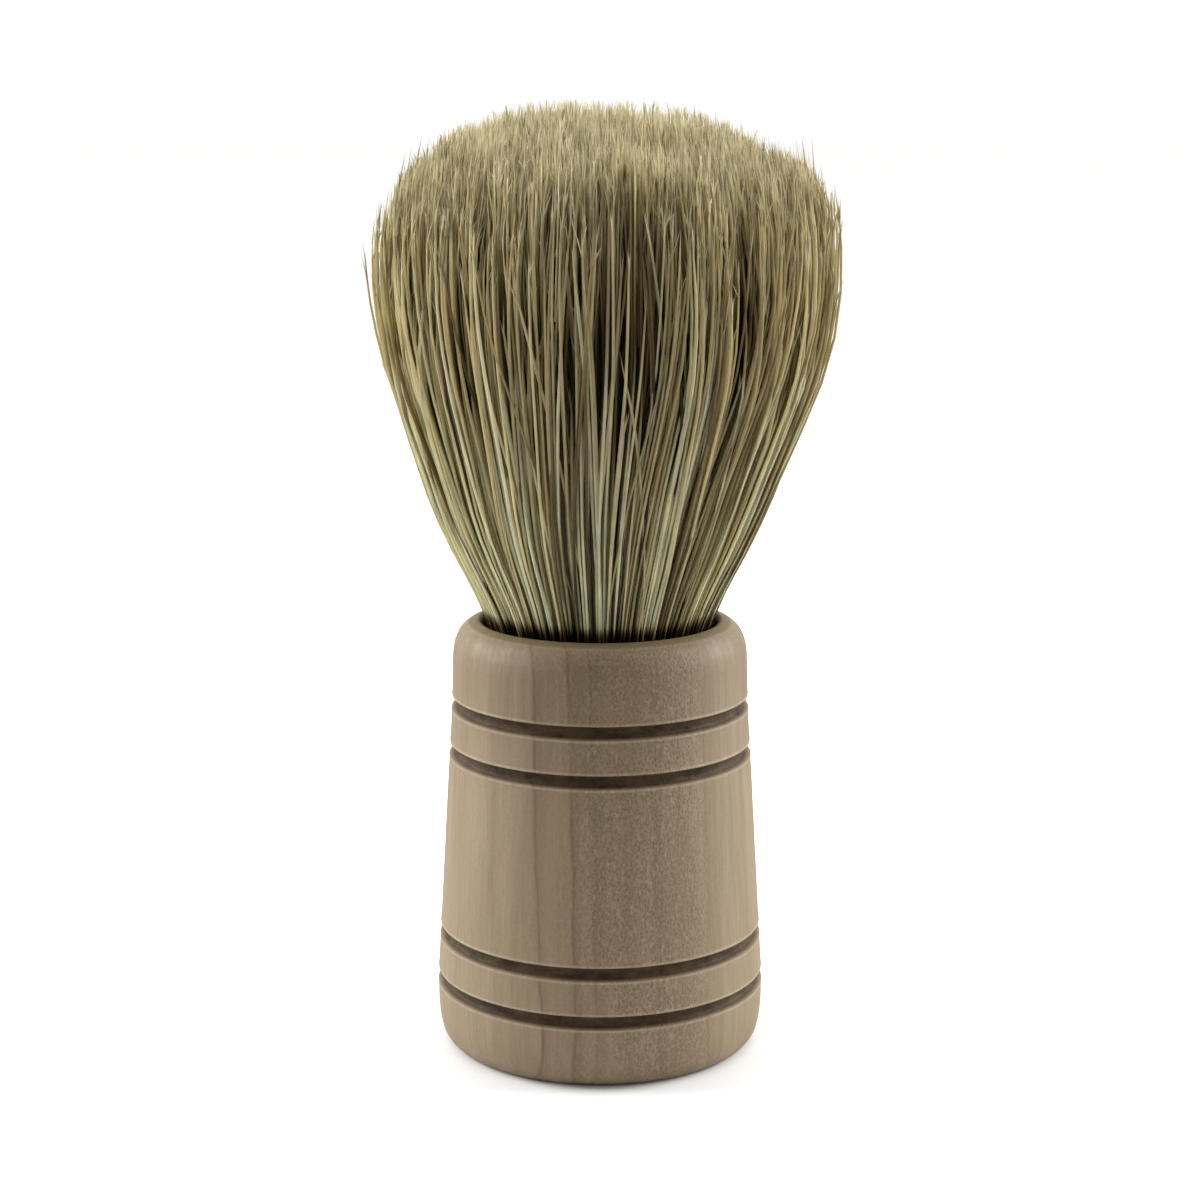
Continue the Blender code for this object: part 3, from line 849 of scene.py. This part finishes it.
def tubes(centres, along_hair, radii, values, turn, sides, pointed, cells, span):
    """Closed tubes about centres (hairs, rings, 3), a pointed one ending on its last centre.

    values holds an array (hairs, rings) for each attribute, cells each hair's UV cell as
    (left, bottom, size), and span the share of the cell's width used. The end faces have
    points of their own, so that the sides shade as round.
    """
    count, stations = centres.shape[:2]
    start = np.stack([np.cos(turn), np.sin(turn), np.zeros(count)], -1)[:, None]
    side_a = unit(np.cross(along_hair, np.broadcast_to(start, along_hair.shape)))
    side_b = np.cross(along_hair, side_a)
    rings = stations - 1 if pointed else stations
    ring = np.stack([
        centres[:, :rings] + radii[:, :rings, None]
        * (math.cos(angle) * side_a[:, :rings] + math.sin(angle) * side_b[:, :rings])
        for angle in 2 * np.pi * np.arange(sides) / sides
    ], 2)
    ends = (0,) if pointed else (0, stations - 1)
    points = [ring.reshape(count, rings * sides, 3)]
    points += [centres[:, -1:]] if pointed else []
    points = np.concatenate(points + [ring[:, end] for end in ends], 1)

    def spell(value):
        parts = [np.repeat(value[:, :rings], sides, axis=1)]
        parts += [value[:, -1:]] if pointed else []
        parts += [np.repeat(value[:, end : end + 1], sides, axis=1) for end in ends]
        return np.concatenate(parts, 1).ravel()

    base = (np.arange(count) * points.shape[1])[:, None, None]
    triangles = []
    point_faces = sides if pointed else 0
    top, apex = (rings - 1) * sides, rings * sides
    triangles += [[top + i, top + (i + 1) % sides, apex] for i in range(point_faces)]
    low = apex + (1 if pointed else 0)
    triangles += [[low, low + i + 1, low + i] for i in range(1, sides - 1)]
    if not pointed:
        high = low + sides
        triangles += [[high, high + i, high + i + 1] for i in range(1, sides - 1)]
    triangles = np.array(triangles)

    # UV: the sides go across the cell and the length up it
    left, bottom, size = cells.T[..., None, None]
    left = left + size * span[0]
    wide = size * (span[1] - span[0])
    up = (bottom + size * (0.10 + 0.80 * np.linspace(0.0, 1.0, stations)[:rings]))[:, 0]
    quad_uv = np.empty((count, rings - 1, sides, 4, 2))
    for i in range(sides):
        quad_uv[:, :, i, (0, 3), 0] = left + wide * i / sides
        quad_uv[:, :, i, (1, 2), 0] = left + wide * (i + 1) / sides
    quad_uv[..., :2, 1] = up[:, :-1, None, None]
    quad_uv[..., 2:, 1] = up[:, 1:, None, None]
    cap_uv = np.empty((count, len(triangles), 3, 2))
    cap_uv[..., 0] = left + wide * np.array([0.0, 1.0, 0.5])
    root_cap = point_faces + sides - 2
    root_v, tip_v, cap = bottom + size * 0.10, bottom + size * 0.90, np.array([0.0, 0.0, 0.03])
    cap_uv[:, :point_faces, :, 1] = tip_v + size * np.array([-0.08, -0.08, 0.0])
    cap_uv[:, point_faces:root_cap, :, 1] = root_v + size * cap
    cap_uv[:, root_cap:, :, 1] = tip_v - size * cap
    return {
        "points": points.reshape(-1, 3),
        "quads": (ring_quads(rings, sides)[None] + base).reshape(-1, 4),
        "triangles": (triangles[None] + base).reshape(-1, 3),
        "quad_uv": quad_uv.reshape(-1, 2), "cap_uv": cap_uv.reshape(-1, 2),
        "values": [spell(value) for value in values],
    }


def hair_piece(name, parts, material):
    """One object from several sets of tubes."""
    starts = np.cumsum([0] + [len(part["points"]) for part in parts])

    def faces(key):
        return np.concatenate([part[key] + start for part, start in zip(parts, starts)])

    def joined(*keys):
        return np.concatenate([part[key] for key in keys for part in parts])

    attributes = {
        key: np.concatenate([part["values"][i] for part in parts])
        for i, key in enumerate(("along", "tone", "painted_light"))
    }
    piece = make_mesh(
        name, joined("points"), faces("quads"), faces("triangles"),
        joined("quad_uv", "cap_uv"), attributes,
    )
    piece.data.materials.append(material)
    return piece


def cells_for(count):
    """A square UV cell for each hair with a margin, as rows of (left, bottom, size)."""
    side = math.ceil(math.sqrt(count))
    i = np.arange(count)
    return np.stack([
        (i % side + 0.08) / side, (i // side + 0.08) / side, np.full(count, 0.84 / side),
    ], -1)


def shafts(hairs, z, radii, cells, span, pointed, inside=slice(None)):
    """Rounder tubes where hairs show; inside the knot, only the rings that inside picks."""
    parts = []
    for shows, sides, rings in ((True, 5, slice(None)), (False, 3, inside)):
        chosen = (rank[hairs] > 0.80) == shows
        if chosen.any():
            some, height = hairs[chosen], z[chosen][:, rings]
            parts.append(tubes(
                where(height, some), direction(height, some), radii[chosen][:, rings],
                values_at(height, some), spin[some], sides, pointed, cells[chosen], span,
            ))
    return parts


def split_ends(hairs, length, cells, draw):
    """Up to three short branches near the tip of each hair."""
    parts = []
    for branch, share in enumerate((0.95, 0.80, 0.50)):
        chosen = draw.random(len(hairs)) < share
        some, count = hairs[chosen], int(chosen.sum())
        start = draw.uniform(0.84, 0.95, count)
        reach = draw.uniform(1.6, 4.2, count) / np.maximum(length[chosen], 8.0)
        climb = start[:, None] + reach[:, None] * np.array([0.0, 0.5, 1.0])
        ceiling = np.minimum(TOP + 0.3, envelope[some] + 1.0)[:, None]
        z = CUT_B + length[chosen][:, None] * climb
        z = np.minimum(z, ceiling + np.array([-1.0, -0.4, 0.0]))
        centres = where(z, some)
        away = draw.normal(0, 0.40, (count, 2))
        centres[:, 1, :2] += away * 0.42
        centres[:, 2, :2] += away
        radii = thick[some][:, None] * np.array([0.54, 0.40, 0.0])
        along, own, painted_light = values_at(z, some)
        left = 0.43 + 0.13 * branch
        parts.append(tubes(
            centres, unit(np.gradient(centres, axis=1)), radii,
            (np.clip(along + 0.03, 0, 1), own, painted_light),
            spin[some], 3, True, cells[chosen], (left, left + 0.10),
        ))
    return parts


def fine_hairs(hairs, cells, draw):
    """A finer hair beside most of the inner ones; it starts deep inside and fills the crown."""
    chosen = (rank[hairs] < 0.90) & (tip[hairs] > CUT_B + 8.0) & (draw.random(len(hairs)) < 0.92)
    some, count = hairs[chosen], int(chosen.sum())
    end = tip[some] - np.minimum(draw.exponential(0.8, count), 4.0)
    # never below the piece's own lower end
    deep = np.minimum(draw.uniform(15.0, 19.0, count), end - CUT_B - 0.4)
    z = end[:, None] - deep[:, None] * np.array([1.0, 0.55, 0.20, 0.0])
    centres = where(z, some)
    beside, bow = draw.normal(0, 0.42, (count, 2)), draw.normal(0, 0.25, (count, 2))
    for i, (aside, bowed) in enumerate(((0.35, 0.0), (0.80, 0.3), (1.0, 0.7), (1.1, 1.2))):
        centres[:, i, :2] += beside * aside + bow * bowed
    own = np.clip(tone[some] + draw.normal(0, 0.16, count), 0.15, 1.0)[:, None]
    along = along_at(z, some)
    values = (along, own + (TIP_TONE - own) * 0.5 * along**4, painted_light_at(z, some))
    radii = draw.uniform(0.085, 0.125, count)[:, None] * np.array([1.0, 1.0, 0.78, 0.0])
    return tubes(
        centres, unit(np.gradient(centres, axis=1)), radii, values,
        spin[some] + 1.0, 3, True, cells[chosen], (0.82, 0.98),
    )


def upper_lengths(hairs):
    """Hairs from CUT_B to their tips, with split ends and finer hairs between."""
    steps = np.array([0.0, 0.14, 0.30, 0.46, 0.62, 0.77, 0.89, 1.0])
    taper = np.array([1.0, 1.02, 1.03, 1.01, 0.95, 0.85, 0.66, 0.0])
    length = tip[hairs] - CUT_B
    z = CUT_B + length[:, None] * steps[None, :]
    cells = cells_for(len(hairs))
    draw = np.random.default_rng(len(hairs) + 7)
    parts = shafts(hairs, z, width_at(z, hairs) * taper, cells, span=(0.0, 0.40), pointed=True)
    parts += split_ends(hairs, length, cells, draw)
    return parts + [fine_hairs(hairs, cells, draw)]


bristle = hair_material()

# lower lengths, the same heights on every hair so that the pieces meet ring to ring
for name, heights, bodies, blend_from, node in (
    ("bristles_at_mouth", (45.8, 48.9, 50.1, 51.5, CUT_A), ("root", "neck"), 48.0,
     "bristle_root_bundle"),
    ("bristles_above_mouth", (CUT_A, 56.5, 59.5, 62.5, CUT_B), ("neck", "core"), CUT_A,
     "bristle_neck"),
):
    z = np.repeat(np.array(heights)[None, :], HAIRS, 0)
    piece = hair_piece(name, shafts(
        everyone, z, width_at(z, everyone), cells_for(HAIRS), span=(0.0, 1.0), pointed=False,
        inside=slice(None, None, 2),
    ), bristle)
    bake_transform(piece)
    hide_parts(node)

# the middle stands on the core; every other hair leans with a tuft, and near a border it may
# go with either neighbour
sector = 2 * np.pi / len(TUFTS)
place = (np.arctan2(root_at[:, 1], root_at[:, 0]) % (2 * np.pi)) / sector
lower = np.floor(place).astype(int)
belongs = (lower + (rng.random(HAIRS) < smooth(place - lower))) % len(TUFTS)
middle = rank < 0.17

piece = hair_piece("bristles_core", upper_lengths(everyone[middle]), bristle)
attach(piece, "core")
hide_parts("bristle_core")
for i, body in enumerate(TUFTS):
    hairs = everyone[(belongs == i) & ~middle]
    piece = hair_piece(f"bristles_{body}", upper_lengths(hairs), bristle)
    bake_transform(piece)
    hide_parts(frame["record"]["behaviour"]["bodies"][body][0])

# -------------------------------------------------------------------- stage

EYE_BACK, EYE_HEIGHT, AIM_HEIGHT = 0.280, 0.106, 0.0505
LAMP_AIM = (0, 0, 0.075)

bpy.ops.mesh.primitive_circle_add(vertices=128, radius=6.0, fill_type="NGON", location=(0, 0, 0))
floor = bpy.context.object
floor.name = "floor"
floor.data.materials.append(paper_material())


def studio_world():
    """Soft white at the back and sides, dimmer behind the camera, even white when seen."""
    world = bpy.data.worlds.new("studio")
    bpy.context.scene.world = world
    sky = Nodes(world)
    light = sky.remap(
        sky.axis(sky.place("Generated"), "Y"), span=(-0.85, 0.15), to=(0.295, 0.86),
        interpolation_type="SMOOTHSTEP",
    )
    seen = 1.06
    strength = sky.node(
        "ShaderNodeMix", {0: sky.camera_ray(), 2: light, 3: seen}, data_type="FLOAT",
    ).outputs[0]
    sky.surface({"Strength": strength, "Color": (1.0, 0.995, 0.985, 1.0)}, shader="Background")


def add_object(name, data):
    made = bpy.data.objects.new(name, data)
    bpy.context.scene.collection.objects.link(made)
    return made


def lamp(name, kind, at, to, power, **options):
    light = bpy.data.lights.new(name, kind)
    light.energy = power
    for key, value in options.items():
        setattr(light, key, value)
    made = add_object(name, light)
    made.location = at
    made.rotation_euler = (Vector(to) - Vector(at)).to_track_quat("-Z", "Y").to_euler()
    made.visible_camera = False


studio_world()
lamp("left", "AREA", at=(-0.58, 0.13, 0.32), to=LAMP_AIM, power=4.5, size=0.40)
lamp("right", "AREA", at=(0.58, 0.13, 0.31), to=LAMP_AIM, power=4.3, size=0.40)
lamp("overhead", "SUN", at=(0, 0.30, 0.80), to=(0, 0, 0), power=1.25, angle=1.0)

camera = bpy.data.cameras.new("camera")
camera.sensor_width, camera.lens = 36.0, 77.0
camera.clip_start, camera.clip_end = 0.01, 50.0
eye = add_object("camera", camera)
eye.location = (0.0, -EYE_BACK, EYE_HEIGHT)
pitch = math.atan2(EYE_HEIGHT - AIM_HEIGHT, EYE_BACK)
eye.rotation_euler = (math.pi / 2 - pitch, 0.0, 0.0)
bpy.context.scene.camera = eye
bpy.context.scene.view_settings.view_transform = "Standard"
